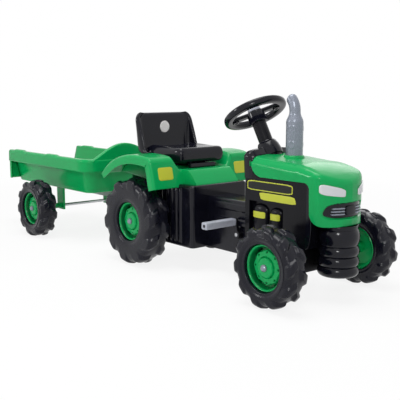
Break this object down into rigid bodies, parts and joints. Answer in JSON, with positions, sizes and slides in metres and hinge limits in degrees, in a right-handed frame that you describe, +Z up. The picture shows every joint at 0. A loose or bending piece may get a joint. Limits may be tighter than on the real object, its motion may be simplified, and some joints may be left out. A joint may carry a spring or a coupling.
{
  "type": "pedal tractor with trailer",
  "caption": "Child's chain-driven pedal tractor with steered front wheels, sliding seat, upright exhaust and a tub trailer on a drop-in hitch.",
  "frame": {"origin": "on the floor, midway between the radiator's nose and the trailer's open tail, on the centre plane", "axes": "+X forward along the tractor and trailer, +Y to the driver's left, +Z up"},
  "size_m": [1.775, 0.528, 0.5821],
  "materials": {
    "green_plastic": "glossy moulded",
    "tyre_plastic": "satin blow-moulded",
    "black_plastic": "satin moulded",
    "grey_plastic": "silver-grey satin",
    "steel": "zinc-plated",
    "lamp_white": "glossy white"
  },
  "bodies": {
    "chassis": {"lower_body": "black_plastic", "engine_housing": "black_plastic", "radiator_drum": "black_plastic", "bonnet": "green_plastic", "grille_insert": "black_plastic", "headlamp_lenses": "lamp_white", "exhaust_stack": "grey_plastic", "rear_fender": "green_plastic", "seat_rail": "black_plastic", "front_axle_beam": "steel", "kingpins": "steel", "steering_bush": "black_plastic", "rear_axle_bushes": "black_plastic", "crank_bushes": "black_plastic", "drive_chain": "steel", "tow_hitch": "black_plastic", "hitch_pin": "steel"},
    "sliding_seat": {"seat": "black_plastic", "seat_slider": "black_plastic"},
    "steering_gear": {"steering_wheel": "black_plastic", "steering_column": "black_plastic", "steering_shaft": "steel"},
    "horn": {"horn_button": "grey_plastic"},
    "left_stub": {"knuckle_left": "steel", "front_axle_cap_left": "grey_plastic"},
    "right_stub": {"knuckle_right": "steel", "front_axle_cap_right": "grey_plastic"},
    "tie_bar": {"tie_rod": "steel"},
    "left_front_wheel": {"front_tyre_left": "tyre_plastic", "front_rim_left": "green_plastic"},
    "right_front_wheel": {"front_tyre_right": "tyre_plastic", "front_rim_right": "green_plastic"},
    "driven_axle": {"rear_axle": "steel", "rear_sprocket": "steel", "rear_axle_caps": "grey_plastic", "rear_tyre_left": "tyre_plastic", "rear_rim_left": "green_plastic"},
    "right_rear_wheel": {"rear_tyre_right": "tyre_plastic", "rear_rim_right": "green_plastic"},
    "crankset": {"crank_axle": "steel", "crank_arm_left": "steel", "crank_arm_right": "steel", "chainring": "steel"},
    "left_pedal": {"pedal_left": "grey_plastic"},
    "right_pedal": {"pedal_right": "grey_plastic"},
    "trailer": {"trailer_tub": "green_plastic", "drawbar": "steel", "trailer_axle": "steel", "trailer_brackets": "green_plastic", "trailer_axle_caps": "grey_plastic"},
    "left_trailer_wheel": {"trailer_tyre_left": "tyre_plastic", "trailer_rim_left": "green_plastic"},
    "right_trailer_wheel": {"trailer_tyre_right": "tyre_plastic", "trailer_rim_right": "green_plastic"}
  },
  "joints": [
    {"name": "seat_slide", "type": "slide", "parent": "chassis", "child": "sliding_seat", "axis": [1, 0, 0], "range_m": [-0.025, 0.025]},
    {"name": "steer", "type": "hinge", "parent": "chassis", "child": "steering_gear", "pos_m": [0.4875, 0, 0.523], "axis": [-0.497, 0, 0.8678], "range_deg": [-33, 33]},
    {"name": "horn_press", "type": "slide", "parent": "steering_gear", "child": "horn", "axis": [0.497, 0, -0.8678], "range_m": [0, 0.003], "stiffness_N_per_m": 400, "springref_m": -0.002},
    {"name": "left_stub_steer", "type": "hinge", "parent": "chassis", "child": "left_stub", "pos_m": [0.7565, 0.13, 0.116], "axis": [0, 0, 1], "range_deg": [-25, 25]},
    {"name": "right_stub_steer", "type": "hinge", "parent": "chassis", "child": "right_stub", "pos_m": [0.7565, -0.13, 0.116], "axis": [0, 0, 1], "range_deg": [-25, 25]},
    {"name": "tie_bar_pivot", "type": "hinge", "parent": "left_stub", "child": "tie_bar", "pos_m": [0.7165, 0.13, 0.133], "axis": [0, 0, 1], "range_deg": [-25, 25]},
    {"name": "left_front_spin", "type": "hinge", "parent": "left_stub", "child": "left_front_wheel", "pos_m": [0.7565, 0.203, 0.116], "axis": [0, 1, 0], "continuous": true},
    {"name": "right_front_spin", "type": "hinge", "parent": "right_stub", "child": "right_front_wheel", "pos_m": [0.7565, -0.203, 0.116], "axis": [0, 1, 0], "continuous": true},
    {"name": "driven_axle_spin", "type": "hinge", "parent": "chassis", "child": "driven_axle", "pos_m": [0.0975, 0, 0.15], "axis": [0, 1, 0], "continuous": true},
    {"name": "right_rear_spin", "type": "hinge", "parent": "chassis", "child": "right_rear_wheel", "pos_m": [0.0975, -0.183, 0.15], "axis": [0, 1, 0], "continuous": true},
    {"name": "crank_spin", "type": "hinge", "parent": "chassis", "child": "crankset", "pos_m": [0.4815, 0, 0.145], "axis": [0, 1, 0], "continuous": true},
    {"name": "left_pedal_spin", "type": "hinge", "parent": "crankset", "child": "left_pedal", "pos_m": [0.49237, 0.1334, 0.10443], "axis": [0, 1, 0], "continuous": true},
    {"name": "right_pedal_spin", "type": "hinge", "parent": "crankset", "child": "right_pedal", "pos_m": [0.47063, -0.1334, 0.18557], "axis": [0, 1, 0], "continuous": true},
    {"name": "trailer_swing", "type": "hinge", "parent": "chassis", "child": "trailer", "pos_m": [-0.0925, 0, 0.179], "axis": [0, 0, 1], "range_deg": [-40, 40]},
    {"name": "left_trailer_spin", "type": "hinge", "parent": "trailer", "child": "left_trailer_wheel", "pos_m": [-0.5525, 0.226, 0.116], "axis": [0, 1, 0], "continuous": true},
    {"name": "right_trailer_spin", "type": "hinge", "parent": "trailer", "child": "right_trailer_wheel", "pos_m": [-0.5525, -0.226, 0.116], "axis": [0, 1, 0], "continuous": true}
  ],
  "couplings": [
    {"joint": "left_stub_steer", "follows": "steer", "ratio": 0.75},
    {"joint": "right_stub_steer", "follows": "steer", "ratio": 0.75},
    {"joint": "tie_bar_pivot", "follows": "steer", "ratio": -0.75},
    {"joint": "crank_spin", "follows": "driven_axle_spin", "ratio": 0.66667}
  ]
}
